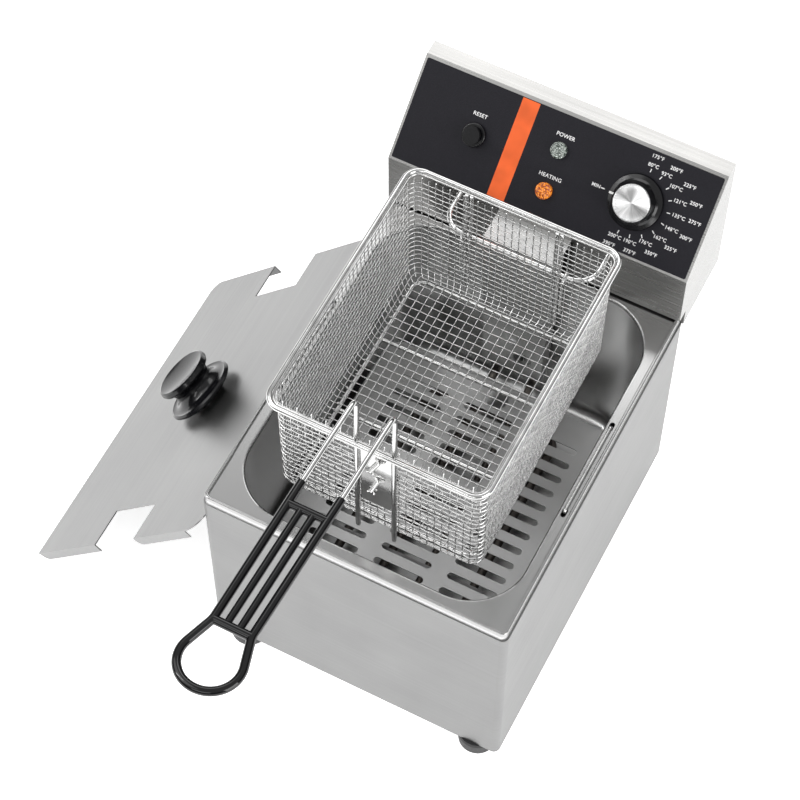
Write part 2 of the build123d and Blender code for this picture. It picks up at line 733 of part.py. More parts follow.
def make_hanger_nuts():
    nut = Rot(-90, 0, 0) * hexagon(8, 4, HANGER_R + 0.02)
    return group(*[
        Pos(sx * HANGER_ARM_X, HEAD_FRONT_Y + SHEET, HANGER_Z) * nut for sx in (-1, 1)
    ])


def make_contactor():
    low = HEAD_TAIL_Z + SHEET
    body = block(18, 66, 360, 404, low, low + 28)
    top = block(24, 60, 366, 398, low + 28, low + 37)
    return fillet((body + top).edges().filter_by(Axis.Z), 2.0)


def make_terminal_block():
    low = HEAD_TAIL_Z + SHEET
    block_body = block(-62, -6, 374, 394, low, low + 16)
    for index in range(5):
        block_body -= disc(3.2, 8, -56 + index * 11, 384, low + 8)
    return block_body


def make_gland():
    body = ring(GLAND_R - 0.1, 4.5, 16.0, z=-9.0) + ring(12.0, 4.5, 3.0, z=0.0)
    body += ring(9.0, 4.5, 9.0, z=3.0)
    tip = body.edges().group_by(Axis.Z)[-1]
    body = fillet(tip[0], 0.8)
    return Pos(GLAND_X, HEAD_REAR_Y, GLAND_Z) * Rot(-90, 0, 0) * body


def make_gland_nut():
    nut = hexagon(20, 4, GLAND_R)
    return Pos(GLAND_X, HEAD_REAR_Y - SHEET - 4, GLAND_Z) * Rot(-90, 0, 0) * nut


parts["basket_hanger"] = make_hanger()
parts["hanger_nuts"] = make_hanger_nuts()
parts["contactor"] = make_contactor()
parts["terminal_block"] = make_terminal_block()
parts["cord_gland"] = make_gland()
parts["cord_gland_nut"] = make_gland_nut()


# ---- baffle plate over the element ----
def make_baffle():
    length = BAFFLE_REAR_Y - BAFFLE_FRONT_Y
    middle = (BAFFLE_REAR_Y + BAFFLE_FRONT_Y) / 2
    plate = slab(2 * BAFFLE_HALF, length, 16.0, BAFFLE_Z, SHEET, middle)
    corner = slab(2 * BAFFLE_HALF, 2 * length, 44.0, BAFFLE_Z, SHEET, BAFFLE_FRONT_Y + length)
    plate = plate & corner
    plate += block(
        -BAFFLE_HALF + 18, BAFFLE_HALF - 18, BAFFLE_REAR_Y - SHEET, BAFFLE_REAR_Y,
        BAFFLE_Z, BAFFLE_Z + 4,
    )
    for sx in (-1, 1):
        inner = sorted((sx * BAFFLE_HALF, sx * (BAFFLE_HALF - SHEET)))
        plate += block(*inner, 66, 262, BAFFLE_Z - BAFFLE_FLANGE, BAFFLE_Z + SHEET)
    slots = [
        Pos((column - 1) * SLOT_PITCH_X, SLOT_REAR_Y - row * SLOT_PITCH_Y, BAFFLE_Z)
        for column in range(SLOT_COLUMNS)
        for row in range(SLOT_ROWS)
    ]
    opening = extrude(SlotOverall(SLOT_LENGTH, SLOT_WIDTH), SHEET)
    plate -= [spot * opening for spot in slots]
    return plate - disc(LIFT_HOLE_R, SHEET, 0, LIFT_HOLE_Y, BAFFLE_Z)


parts["baffle_plate"] = make_baffle()


# ---- frying basket ----
def basket_body(inset, floor):
    top = Pos(0, BASKET_MID_Y, BASKET_TOP_Z) * RectangleRounded(
        2 * (BASKET_HALF_TOP - inset), BASKET_LENGTH - 2 * inset, BASKET_CORNER_R - inset
    )
    bottom = Pos(0, BASKET_MID_Y, BASKET_BOTTOM_Z + floor) * RectangleRounded(
        2 * (BASKET_HALF_BOTTOM - inset), BASKET_LENGTH - 2 * inset, BASKET_CORNER_R - inset
    )
    body = loft([bottom, top])
    return fillet(body.edges().group_by(Axis.Z)[0], BASKET_EDGE_R - inset)


def make_mesh():
    return basket_body(0, 0) - basket_body(BASKET_WALL, BASKET_WALL)


RIM_GAP = RIM_WIRE_R + 0.15
RIM_FRONT_Y = BASKET_FRONT_Y - 2 * ROD_R - RIM_WIRE_R - 0.3
RIM_REAR_Y = BASKET_REAR_Y + 2 * 1.6 + RIM_WIRE_R + 0.3
BASE_WIRE_Z = BASKET_BOTTOM_Z - 2.2
BASE_INSET = 10.0
BASE_HALF = BASKET_HALF_BOTTOM - BASE_INSET
BASE_FRONT_Y = BASKET_FRONT_Y + BASE_INSET
BASE_REAR_Y = BASKET_REAR_Y - BASE_INSET


def make_rim_wire():
    half = BASKET_HALF_TOP + RIM_GAP
    corner = BASKET_CORNER_R + RIM_WIRE_R
    return rounded_loop(RIM_WIRE_R, half, RIM_FRONT_Y, RIM_REAR_Y, BASKET_TOP_Z, corner)


def make_base_wire():
    return rounded_loop(FRAME_WIRE_R, BASE_HALF, BASE_FRONT_Y, BASE_REAR_Y, BASE_WIRE_Z, 11.0)


def make_cross_wires():
    reach = BASE_HALF - FRAME_WIRE_R - 0.1
    return group(*[
        bar(FRAME_WIRE_R, (-reach, y, BASE_WIRE_Z), (reach, y, BASE_WIRE_Z)) for y in (126, 204)
    ])


def handle_point(sx, distance, half=ROD_X, lift=0.0):
    """A point along the sloping handle, measured out from the crook."""
    rise = math.radians(HANDLE_RISE)
    y = CROOK_Y - distance * math.cos(rise) - lift * math.sin(rise)
    z = CROOK_Z + distance * math.sin(rise) + lift * math.cos(rise)
    return (sx * half, y, z)


def make_handle_rod(sx):
    low = (sx * ROD_X, BASKET_FRONT_Y - ROD_R - 0.15, BASKET_BOTTOM_Z - 4)
    rim = (sx * ROD_X, BASKET_FRONT_Y - ROD_R - 0.15, BASKET_TOP_Z - 4)
    return wire_rod(ROD_R, [low, rim, handle_point(sx, 0), handle_point(sx, GRIP_START)],
                    [60, CROOK_R])


def make_grip():
    flat = Pos(0, CROOK_Y, CROOK_Z) * Rot(-HANDLE_RISE, 0, 0)
    # the ring's sides flare from the end bar and run tangent into the ring
    span = math.hypot(GRIP_HALF_END, GRIP_RING_REACH - GRIP_END)
    lean_in = math.atan2(GRIP_HALF_END, GRIP_RING_REACH - GRIP_END)
    flare = math.asin(GRIP_RING_R / span) - lean_in
    far = GRIP_RING_REACH + GRIP_RING_R
    corner_x = GRIP_HALF_END + (far - GRIP_END) * math.tan(flare)
    side = [(ROD_X, -GRIP_START, 0), (GRIP_HALF_END, -GRIP_END, 0), (corner_x, -far, 0)]
    loop = side + [(-x, y, z) for x, y, z in side[::-1]]
    ring_bend = GRIP_RING_R - 0.1
    grip = wire_rod(GRIP_R, loop, [22.0, ring_bend, ring_bend, 22.0])
    for reach, half in ((GRIP_CROSS, ROD_X), (GRIP_END, GRIP_HALF_END)):
        grip += bar(GRIP_R, (-half, -reach, 0), (half, -reach, 0))
    for sx in (-1, 1):
        start = (sx * GRIP_INNER_X, -GRIP_CROSS, 0)
        grip += bar(GRIP_INNER_R, start, (sx * GRIP_INNER_X, -GRIP_END, 0))
    return flat * grip


def make_front_plate():
    half = ROD_X - ROD_R - 0.4
    high = BASKET_TOP_Z - 8
    return block(-half, half, BASKET_FRONT_Y - 1.0, BASKET_FRONT_Y - 0.2, high - 88, high)


def make_ties():
    y = BASKET_FRONT_Y - 2.6
    first = bar(1.3, (-4.0, y, 328), (1.0, y, 342))
    second = bar(1.3, (-3.0, y, 296), (3.0, y, 311))
    return group(first, second)


def make_rear_wires():
    y = BASKET_REAR_Y + 1.6 + 0.1
    low = BASE_WIRE_Z + FRAME_WIRE_R + 0.1
    high = BASKET_TOP_Z - 1
    return group(*[
        bar(1.6, (sx * x, y, low), (sx * x, y, high)) for sx in (-1, 1) for x in REAR_WIRE_X
    ])


def make_hook(sx):
    x = sx * HOOK_X
    wall_y = BASKET_REAR_Y + 1.7
    back_y = HANGER_BAR_Y + HANGER_R + 1.5 + 0.9
    crown = HANGER_Z + HANGER_R + 1.5 + 0.2
    points = [(x, wall_y, 262), (x, wall_y, crown), (x, back_y, crown), (x, back_y, crown - 18)]
    return wire_rod(1.5, points, [4.0, 4.0])


parts["basket_mesh"] = make_mesh()
parts["basket_rim_wire"] = make_rim_wire()
parts["basket_base_wire"] = make_base_wire()
parts["basket_cross_wires"] = make_cross_wires()
parts["basket_handle_rods"] = group(make_handle_rod(-1), make_handle_rod(1))
parts["basket_handle_grip"] = make_grip()
parts["basket_front_plate"] = make_front_plate()
parts["front_plate_ties"] = make_ties()
parts["basket_rear_wires"] = make_rear_wires()
parts["basket_hooks"] = group(make_hook(-1), make_hook(1))


# ---- lid, leaning on the left side of the casing ----
def lid_outline():
    """The flat lid seen from above, with its low edge on the local Y axis."""
    sheet = Pos(LID_WIDTH / 2, LID_DEPTH / 2) * Rectangle(LID_WIDTH, LID_DEPTH)
    corners = sheet.vertices().sort_by(Axis.X)
    sheet = fillet(corners[2:], LID_CORNER_R)
    low = sheet.vertices().group_by(Axis.X)[0].sort_by(Axis.Y)
    sheet = fillet(low[0], 3.0)
    low = sheet.vertices().group_by(Axis.X)[0].sort_by(Axis.Y)
    sheet = fillet(low[-1], 12.0)
    for y in (0, LID_DEPTH):
        sheet -= Pos(LID_CENTRE, y) * Rectangle(2 * LID_NOTCH_HALF, 2 * LID_NOTCH_DEPTH)
    return sheet


def lid_flange(x_low, x_high, y_low, low_end):
    """One down-turned flange; its low end has a large rounded corner."""
    flange = block(x_low, x_high, y_low, y_low + SHEET, -LID_FLANGE, 0)
    if low_end:
        corner = flange.edges().filter_by(Axis.Y).group_by(Axis.Z)[0].sort_by(Axis.X)[0]
        flange = fillet(corner, LID_FLANGE - 1.5)
    return flange


def make_lid_plate():
    plate = extrude(lid_outline(), -SHEET)
    near = LID_CENTRE - LID_NOTCH_HALF
    far = LID_CENTRE + LID_NOTCH_HALF
    for y in (0.0, LID_DEPTH - SHEET):
        plate += lid_flange(13.0 if y else 4.0, near, y, True)
        plate += lid_flange(far, LID_WIDTH - LID_CORNER_R, y, True)
    return plate - disc(2.6, SHEET, LID_CENTRE, LID_DEPTH / 2, -SHEET)


def make_lid_knob():
    """A waisted knob on a short hub: a wide foot, a narrow neck and a dished top."""
    low = LID_KNOB_HUB
    top = LID_KNOB_HEIGHT
    foot = Polyline((LID_KNOB_HUB_R, 0, 0), (LID_KNOB_HUB_R, 0, low), (LID_KNOB_R - 1.5, 0, low),
                    (LID_KNOB_R, 0, low + 1.5), (LID_KNOB_R, 0, low + 3.2),
                    (LID_KNOB_R - 2, 0, low + 4.6))
    neck = ThreePointArc((LID_KNOB_R - 2, 0, low + 4.6), (20.0, 0, low + 13.0),
                         (LID_KNOB_TOP_R - 1, 0, low + 21.5))
    crown = Polyline((LID_KNOB_TOP_R - 1, 0, low + 21.5), (LID_KNOB_TOP_R, 0, low + 23.5),
                     (LID_KNOB_TOP_R - 0.6, 0, top - 0.8), (LID_KNOB_TOP_R - 2.4, 0, top))
    dish = ThreePointArc((LID_KNOB_TOP_R - 2.4, 0, top), (14.0, 0, top - 2.2), (2.2, 0, top - 3.2))
    close = Polyline((2.2, 0, top - 3.2), (0, 0, top - 3.2), (0, 0, 0), (LID_KNOB_HUB_R, 0, 0))
    knob = revolve(make_face(foot + neck + crown + dish + close), Axis.Z, 360)
    return knob - disc(2.05, 14)


def make_lid_washer():
    return ring(7.0, 2.3, 0.8, z=-SHEET - 0.8)


def make_lid_screw():
    return Pos(0, 0, -SHEET - 0.8) * Rot(180, 0, 0) * screw(4.6, 2.4, 2.0, 13.0)


lean = Rot(0, -LID_TILT, 0)
centre = Pos(LID_CENTRE, LID_DEPTH / 2, 0)
lid_pieces = {
    "lid_plate": lean * make_lid_plate(),
    "lid_knob": lean * centre * make_lid_knob(),
    "lid_knob_screw": lean * centre * make_lid_screw(),
    "lid_knob_washer": lean * centre * make_lid_washer(),
}
lid_box = lid_pieces["lid_plate"].bounding_box()
stand = Pos(-CASE_WIDTH / 2 - LID_WALL_GAP - lid_box.max.X, LID_FRONT_Y, -lid_box.min.Z)
for name, piece in lid_pieces.items():
    parts[name] = stand * piece


# ---- move the whole set so that the origin is the middle of its box, and write it ----
boxes = [piece.bounding_box() for piece in parts.values()]
mid_x = (min(box.min.X for box in boxes) + max(box.max.X for box in boxes)) / 2
mid_y = (min(box.min.Y for box in boxes) + max(box.max.Y for box in boxes)) / 2
to_origin = Pos(-mid_x, -mid_y, 0)
os.makedirs("parts", exist_ok=True)
for name, piece in parts.items():
    export_step(to_origin * piece, f"parts/{name}.step")
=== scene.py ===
# Looks of the countertop deep fryer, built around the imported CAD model, in metres.
import json
import math

import bmesh
import bpy
from mathutils import Matrix, Vector


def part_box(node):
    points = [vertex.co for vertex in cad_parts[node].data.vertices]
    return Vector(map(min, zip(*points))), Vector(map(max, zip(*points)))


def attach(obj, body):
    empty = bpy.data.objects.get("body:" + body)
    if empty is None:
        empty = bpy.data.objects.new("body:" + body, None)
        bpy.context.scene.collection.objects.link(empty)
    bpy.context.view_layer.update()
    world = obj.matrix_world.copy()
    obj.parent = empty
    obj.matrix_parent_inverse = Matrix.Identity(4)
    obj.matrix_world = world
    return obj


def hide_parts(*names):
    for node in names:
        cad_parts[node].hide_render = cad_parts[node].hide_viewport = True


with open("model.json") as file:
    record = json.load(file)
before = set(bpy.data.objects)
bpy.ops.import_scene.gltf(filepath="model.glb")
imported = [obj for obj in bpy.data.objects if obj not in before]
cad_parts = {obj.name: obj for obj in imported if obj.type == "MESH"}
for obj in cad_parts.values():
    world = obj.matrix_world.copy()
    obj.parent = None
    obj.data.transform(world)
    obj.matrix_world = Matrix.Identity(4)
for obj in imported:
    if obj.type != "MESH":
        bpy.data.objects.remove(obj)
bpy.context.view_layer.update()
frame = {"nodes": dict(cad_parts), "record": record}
nodes = frame["nodes"]
joints = {joint["name"]: joint for joint in frame["record"]["behaviour"]["joints"]}
MM = 0.001


# ---- camera ----
case_low, case_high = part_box("casing_shell")
case_mid_x = (case_low[0] + case_high[0]) / 2
CAMERA_FROM_CASE = Vector((0.4734, -0.8369, 2.1481))
CAMERA_AZIMUTH = math.radians(27.17)
CAMERA_ELEVATION = math.radians(59.51)
CAMERA_ROLL = math.radians(0.175)
CAMERA_LENS = 118.53
CAMERA_SENSOR = 36.0
CAMERA_CLIP_END = 50.0


def make_camera():
    """The camera, placed from the foot of the casing's front, at its middle."""
    data = bpy.data.cameras.new("camera")
    data.lens = CAMERA_LENS
    data.sensor_width = CAMERA_SENSOR
    data.clip_end = CAMERA_CLIP_END
    camera = bpy.data.objects.new("camera", data)
    turn = Matrix.Rotation(CAMERA_AZIMUTH, 4, "Z")
    turn = turn @ Matrix.Rotation(math.pi / 2 - CAMERA_ELEVATION, 4, "X")
    turn = turn @ Matrix.Rotation(CAMERA_ROLL, 4, "Z")
    place = Vector((case_mid_x, case_low[1], 0)) + CAMERA_FROM_CASE
    camera.matrix_world = Matrix.Translation(place) @ turn
    bpy.context.collection.objects.link(camera)
    bpy.context.scene.camera = camera


make_camera()


# ---- helpers for materials ----
class Paint:
    """A material with a principled shader and short ways to add nodes."""

    def __init__(self, name, color, rough=0.5, metallic=0.0, **values):
        self.mat = bpy.data.materials.new(name)
        self.mat.use_nodes = True
        self.tree = self.mat.node_tree
        self.shader = self.tree.nodes["Principled BSDF"]
        self.put("Base Color", (*color, 1.0))
        self.put("Roughness", rough)
        self.put("Metallic", metallic)
        for key, value in values.items():
            self.put(key.replace("_", " "), value)

    def put(self, socket, value):
        self.shader.inputs[socket].default_value = value

    def node(self, kind, **inputs):
        made = self.tree.nodes.new("ShaderNode" + kind)
        for key, value in inputs.items():
            made.inputs[key.replace("_", " ")].default_value = value
        return made

    def link(self, source, target):
        self.tree.links.new(source, target)

    def axes(self):
        """The object's own X, Y and Z as separate values."""
        place = self.node("TexCoord")
        split = self.node("SeparateXYZ")
        self.link(place.outputs["Object"], split.inputs["Vector"])
        return split.outputs

    def coords(self, scale):
        place = self.node("TexCoord")
        mapping = self.node("Mapping", Scale=scale)
        self.link(place.outputs["Object"], mapping.inputs["Vector"])
        return mapping.outputs["Vector"]

    def noise(self, scale, detail=3.0, rough=0.5):
        made = self.node("TexNoise", Scale=1.0, Detail=detail, Roughness=rough)
        self.link(self.coords(scale), made.inputs["Vector"])
        return made.outputs["Fac"]

    def spread(self, value, low, high, source_low=0.3, source_high=0.7):
        made = self.node("MapRange")
        made.inputs["From Min"].default_value = source_low
        made.inputs["From Max"].default_value = source_high
        made.inputs["To Min"].default_value = low
        made.inputs["To Max"].default_value = high
        self.link(value, made.inputs["Value"])
        return made.outputs["Result"]

    def tint(self, value, first, second, low=0.3, high=0.7):
        """Base colour that goes from first to second with a texture value."""
        ramp = self.tree.nodes.new("ShaderNodeValToRGB")
        ramp.color_ramp.elements[0].position = low
        ramp.color_ramp.elements[0].color = (*first, 1.0)
        ramp.color_ramp.elements[1].position = high
        ramp.color_ramp.elements[1].color = (*second, 1.0)
        self.link(value, ramp.inputs["Fac"])
        self.link(ramp.outputs["Color"], self.shader.inputs["Base Color"])

    def rough(self, value, low, high):
        self.link(self.spread(value, low, high), self.shader.inputs["Roughness"])

    def bump(self, value, strength, depth):
        made = self.node("Bump", Strength=strength, Distance=depth)
        self.link(value, made.inputs["Height"])
        self.link(made.outputs["Normal"], self.shader.inputs["Normal"])


def metal(name, dark, light, rough, lines=None, line_bump=0.12, cloud=14.0):
    """Sheet or wire metal: cloudy tone, brushed lines if lines gives their direction."""
    paint = Paint(name, light, metallic=1.0, rough=rough[0])
    paint.tint(paint.noise((cloud, cloud, cloud), 3.0), dark, light)
    if lines:
        grain = paint.noise(lines, 4.0, 0.65)
        paint.rough(grain, *rough)
        paint.bump(grain, line_bump, 0.04 * MM)
    else:
        paint.rough(paint.noise((60, 60, 60), 4.0), *rough)
    return paint.mat


def plastic(name, color, rough, speck=900.0, speck_bump=0.1, **values):
    """Moulded plastic, rubber, coating or print: slightly cloudy colour over a fine grain."""
    paint = Paint(name, color, rough=rough, **values)
    cloud = paint.noise((40, 40, 40), 2.0)
    paint.tint(cloud, tuple(c * 0.82 for c in color), tuple(min(1.0, c * 1.15) for c in color))
    fine = paint.noise((speck, speck, speck), 2.0)
    paint.rough(fine, rough * 0.85, rough * 1.15)
    paint.bump(fine, speck_bump, 0.03 * MM)
    return paint.mat


# ---- materials ----
case_steel = metal(
    "case_steel", (0.225, 0.225, 0.225), (0.255, 0.255, 0.254), (0.34, 0.42), (2.5, 2.5, 900), 0.06
)
head_steel = metal(
    "head_steel", (0.345, 0.342, 0.335), (0.39, 0.386, 0.377), (0.24, 0.34), (3, 700, 700)
)
lid_steel = metal(
    "lid_steel", (0.265, 0.265, 0.265), (0.305, 0.305, 0.303), (0.32, 0.40), (420, 3, 420), 0.04, 8.0
)
plate_steel = metal(
    "plate_steel", (0.42, 0.42, 0.42), (0.50, 0.50, 0.497), (0.32, 0.42), (2, 500, 500), 0.03
)
shield_steel = metal(
    "shield_steel", (0.56, 0.56, 0.555), (0.66, 0.66, 0.655), (0.50, 0.60), (500, 500, 4), 0.08
)
wire_steel = metal("wire_steel", (0.56, 0.56, 0.555), (0.74, 0.74, 0.735), (0.08, 0.15), cloud=70.0)
mirror_steel = metal("mirror_steel", (0.62, 0.62, 0.62), (0.74, 0.74, 0.735), (0.06, 0.12), cloud=30.0)
zinc = metal("zinc", (0.50, 0.50, 0.51), (0.68, 0.68, 0.69), (0.28, 0.42), cloud=160.0)
heater = metal("heater_sheath", (0.10, 0.09, 0.085), (0.22, 0.20, 0.18), (0.38, 0.55), cloud=50.0)
rubber = plastic("foot_rubber", (0.012, 0.012, 0.013), 0.55, 1400.0, 0.3)
handle_coat = plastic("handle_coat", (0.002, 0.002, 0.0025), 0.09, 90.0, 0.03, Specular_IOR_Level=0.45)
phenolic = plastic("phenolic", (0.004, 0.004, 0.005), 0.16, 500.0, 0.05, Specular_IOR_Level=0.42)
housing = plastic("housing", (0.05, 0.05, 0.05), 0.45)
fibre = plastic("fibre", (0.20, 0.13, 0.09), 0.8)
print_white = plastic("print_white", (0.82, 0.82, 0.82), 0.5)
pointer_white = plastic("pointer_white", (0.86, 0.86, 0.84), 0.4)


def make_label_film():
    """Black film with a fine leathery emboss."""
    paint = Paint("label_film", (0.010, 0.010, 0.013), rough=0.5, Specular_IOR_Level=0.16)
    fine = paint.noise((1500, 1500, 1500), 2.0, 0.6)
    paint.tint(fine, (0.007, 0.007, 0.010), (0.017, 0.016, 0.021))
    paint.rough(fine, 0.40, 0.58)
    paint.bump(fine, 0.5, 0.06 * MM)
    return paint.mat


label_film = make_label_film()


TANK_RIM_DEPTH = (7.0 * MM, 4.0 * MM)


def make_tank_steel():
    """Drawn tank: a satin well painted brighter than the greyer rim on top, a painted sheen on the
    same steel.
    """
    paint = Paint("tank_steel", (0.8, 0.8, 0.8), metallic=1.0, rough=0.4)
    rim_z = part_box("oil_tank")[1][2]
    low, high = (rim_z - depth for depth in TANK_RIM_DEPTH)
    height = paint.spread(paint.axes()["Z"], 0.0, 1.0, low, high)
    # painted sheen: the well below the rim is a lighter tone of the same steel than the rim
    paint.tint(height, (0.64, 0.64, 0.637), (0.42, 0.42, 0.418), 0.0, 1.0)
    paint.link(paint.spread(height, 0.30, 0.22, 0.0, 1.0), paint.shader.inputs["Roughness"])
    paint.bump(paint.noise((9, 9, 9), 3.0), 0.02, 0.4 * MM)
    return paint.mat


tank_steel = make_tank_steel()


def assign(material, *names):
    """Gives CAD nodes their material."""
    for name in names:
        mesh = nodes[name].data
        mesh.materials.clear()
        mesh.materials.append(material)


assign(case_steel, "casing_shell", "base_plate")
assign(head_steel, "head_shell", "head_back_panel", "head_base_tray")
assign(tank_steel, "oil_tank")
assign(lid_steel, "lid_plate")
assign(plate_steel, "baffle_plate", "element_flange", "element_clamps", "bulb_clip")
assign(shield_steel, "element_shield")
assign(mirror_steel, "basket_front_plate")
assign(wire_steel, "left_tank_bail", "right_tank_bail", "basket_rim_wire", "basket_base_wire")
assign(wire_steel, "basket_cross_wires", "basket_handle_rods", "basket_rear_wires", "basket_hooks")
assign(wire_steel, "basket_hanger", "thermostat_bulb", "high_limit_bulb")
assign(wire_steel, "thermostat_capillary", "high_limit_capillary")
assign(zinc, "foot_screws", "foot_nuts", "back_panel_screws", "lamp_nuts", "control_nuts")
assign(zinc, "hanger_nuts", "element_terminals", "shield_screw", "lid_knob_screw")
assign(zinc, "thermostat_shaft")
assign(heater, "heating_element")
assign(rubber, "rubber_feet")
assign(handle_coat, "basket_handle_grip")
assign(phenolic, "lid_knob", "knob_skirt", "reset_collar", "reset_button")
assign(housing, "lamp_bodies", "thermostat_body", "high_limit_body", "contactor")
assign(housing, "terminal_block", "cord_gland", "cord_gland_nut")
assign(fibre, "lid_knob_washer")
assign(label_film, "control_label")
assign(pointer_white, "knob_pointer")


# ---- helpers for pieces ----
def link_piece(obj, material, body):
    """Puts a piece in the scene with its material and on its body."""
    bpy.context.collection.objects.link(obj)
    obj.data.materials.append(material)
    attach(obj, body)
    return obj


def mesh_object(name, bm, smooth=True):
    mesh = bpy.data.meshes.new(name)
    bmesh.ops.recalc_face_normals(bm, faces=bm.faces)
    bm.to_mesh(mesh)
    bm.free()
    for polygon in mesh.polygons:
        polygon.use_smooth = smooth
    return bpy.data.objects.new(name, mesh)


def wire_object(name, paths, radius, sides):
    """One curve object of round wires; paths is a list of (points, closed)."""
    curve = bpy.data.curves.new(name, "CURVE")
    curve.dimensions = "3D"
    curve.bevel_depth = radius
    curve.bevel_resolution = sides
    curve.use_fill_caps = True
    for points, closed in paths:
        spline = curve.splines.new("POLY")
        spline.points.add(len(points) - 1)
        for target, point in zip(spline.points, points):
            target.co = (*point, 1.0)
        spline.use_cyclic_u = closed
    return bpy.data.objects.new(name, curve)


def circle_points(radius, segments):
    """Points (x, y) of a circle round the local Z axis; one point where the radius is nothing."""
    if radius < 1e-7:
        return [(0.0, 0.0)]
    turns = [2 * math.pi * step / segments for step in range(segments)]
    return [(radius * math.cos(turn), radius * math.sin(turn)) for turn in turns]


def bridge(bm, rings):
    """Faces between neighbouring rings; a ring of one vertex is the centre of a fan."""
    for low, high in zip(rings, rings[1:]):
        count = max(len(low), len(high))
        for step in range(count):
            after = (step + 1) % count
            if len(low) == 1:
                bm.faces.new((low[0], high[step], high[after]))
            elif len(high) == 1:
                bm.faces.new((low[step], low[after], high[0]))
            else:
                bm.faces.new((low[step], low[after], high[after], high[step]))


def lathe(name, profile, segments):
    """A closed turned mesh about local Z from (radius, height) points."""
    bm = bmesh.new()
    rings = []
    for radius, height in profile:
        rings.append([bm.verts.new((x, y, height)) for x, y in circle_points(radius, segments)])
    bridge(bm, rings)
    return mesh_object(name, bm)


# ---- the sloped control face, from the thermostat's joint ----
KNOB_U = 74.8 * MM
KNOB_W = 46.2 * MM
RESET_U = -75.4 * MM
POWER_LAMP = (-2.0 * MM, 61.7 * MM)
HEATING_LAMP = (-1.5 * MM, 25.3 * MM)
FILM = 0.5 * MM
knob_turn = joints["thermostat_turn"]
face_normal = Vector(knob_turn["axis"]).normalized()
face_right = Vector((1, 0, 0))
face_up = face_normal.cross(face_right).normalized()
face_zero = Vector(knob_turn["pos_m"]) - KNOB_U * face_right - KNOB_W * face_up


def face_matrix(u, w, h=0.0):
    """Local frame on the control face: X across, Y up the slope, Z out of it."""
    turn = Matrix((face_right, face_up, face_normal)).transposed().to_4x4()
    place = face_zero + u * face_right + w * face_up + h * face_normal
    return Matrix.Translation(place) @ turn


# ---- frying basket: woven wire mesh ----
mesh_low, mesh_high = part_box("basket_mesh")
PITCH = 8.0 * MM
WALL_ROW = 6.6 * MM
MESH_R = 0.5 * MM
WEAVE = 0.3 * MM
SHELL = 0.8 * MM
BASKET_TAPER = 1.5 * MM
BASKET_CORNER = 10.2 * MM
BASKET_EDGE = 8.2 * MM
UPRIGHT_SHARE = 0.8
basket_x = (mesh_low[0] + mesh_high[0]) / 2
basket_y = (mesh_low[1] + mesh_high[1]) / 2
basket_half_y = (mesh_high[1] - mesh_low[1]) / 2 - SHELL
floor_z = mesh_low[2] + SHELL
top_z = mesh_high[2] - 1.0 * MM


def half_width(z):
    """Half the basket's width at a height; its sides lean in towards the floor."""
    share = (z - mesh_low[2]) / (mesh_high[2] - mesh_low[2])
    return (mesh_high[0] - mesh_low[0]) / 2 - SHELL - BASKET_TAPER * (1 - share)


def wall_point(share, z, inset=0.0):
    """A point on the basket wall: share runs from 0 to 1 round it from the middle of the front."""
    hx = half_width(z) - inset
    hy = basket_half_y - inset
    corner = max(BASKET_CORNER - inset, 0.5 * MM)
    runs = [hx - corner, math.pi / 2 * corner, 2 * (hy - corner), math.pi / 2 * corner]
    runs += [2 * (hx - corner), math.pi / 2 * corner, 2 * (hy - corner), math.pi / 2 * corner]
    runs.append(hx - corner)
    total = sum(runs)
    s = (share % 1.0) * total
    index = 0
    while s > runs[index] and index < 8:
        s -= runs[index]
        index += 1
    # straight runs: start point and direction; corners: centre and start angle
    if index % 2 == 0:
        starts = [
            ((0, -hy), (1, 0)), ((hx, -hy + corner), (0, 1)), ((hx - corner, hy), (-1, 0)),
            ((-hx, hy - corner), (0, -1)), ((-hx + corner, -hy), (1, 0)),
        ]
        start, way = starts[index // 2]
        point = (start[0] + way[0] * s, start[1] + way[1] * s)
        normal = (way[1], -way[0])
    else:
        centres = [(hx - corner, -hy + corner), (hx - corner, hy - corner)]
        centres += [(-hx + corner, hy - corner), (-hx + corner, -hy + corner)]
        angle = -math.pi / 2 + (index // 2) * math.pi / 2 + s / corner
        normal = (math.cos(angle), math.sin(angle))
        centre = centres[index // 2]
        point = (centre[0] + corner * normal[0], centre[1] + corner * normal[1])
    return (
        Vector((basket_x + point[0], basket_y + point[1], z)),
        Vector((normal[0], normal[1], 0.0)),
    )


def edge_turn(angle):
    """Inset and height on the round edge under the walls, at degrees below level."""
    inset = BASKET_EDGE * (1 - math.cos(math.radians(angle)))
    z = floor_z + BASKET_EDGE * (1 - math.sin(math.radians(angle)))
    return inset, z


def level_wires(count, rows):
    """Rings round the walls, going in and out between the upright wires, and two on the edge."""
    paths = []
    for row in range(rows):
        z = top_z - (row + 1) * WALL_ROW
        ring = []
        for step in range(2 * count):
            point, normal = wall_point(step / (2 * count), z)
            wave = (1, 0, -1, 0)[(step + 2 * row) % 4]
            ring.append(point + normal * WEAVE * wave)
        paths.append((ring, True))
    for angle in (30, 65):
        inset, z = edge_turn(angle)
        ring = [wall_point(step / count, z, inset)[0] for step in range(count)]
        paths.append((ring, True))
    return paths


def upright_wires(count, rows):
    """Wires down the walls, which turn in under the basket."""
    paths = []
    for column in range(count):
        line = []
        for step in range(2 * rows + 2):
            point, normal = wall_point(column / count, top_z - step * WALL_ROW / 2)
            wave = (0, -1, 0, 1)[(step + 2 * column + 3) % 4]
            line.append(point + normal * WEAVE * wave)
        for angle in (0, 30, 60, 90):
            inset, z = edge_turn(angle)
            line.append(wall_point(column / count, z, inset)[0])
        paths.append((line, False))
    return paths


